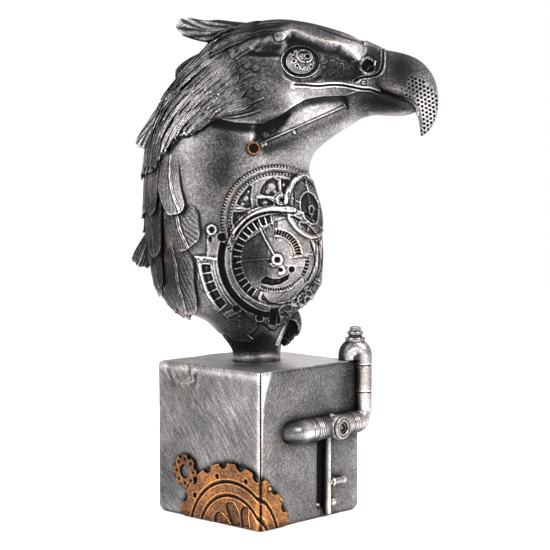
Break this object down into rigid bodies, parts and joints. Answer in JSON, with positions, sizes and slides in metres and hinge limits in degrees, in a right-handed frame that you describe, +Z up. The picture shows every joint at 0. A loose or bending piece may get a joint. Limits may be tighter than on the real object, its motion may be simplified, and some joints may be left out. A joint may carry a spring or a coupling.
{
  "type": "steampunk eagle sculpture",
  "caption": "Cast eagle bust with feathers, a clockwork chest and a perforated hooked beak, on a cube plinth with pipework and copper gears.",
  "frame": {"origin": "centre of the plinth's flat underside", "axes": "+X the way the beak points, +Z up, the plinth's upright edges lie on the X and Y axes"},
  "size_m": [0.241, 0.1601, 0.3893],
  "materials": {
    "antique_pewter": "black patina in the recesses, rubbed light grey on what stands proud, finely speckled",
    "antique_copper": "rubbed copper paint with dark speckles and brighter edges"
  },
  "bodies": {
    "root": {"eagle_bust": "antique_pewter", "plinth": "antique_pewter", "pipework": "antique_pewter", "corner_gear": "antique_copper", "small_gear": "antique_copper", "jaw_ring": "antique_copper"}
  },
  "joints": []
}
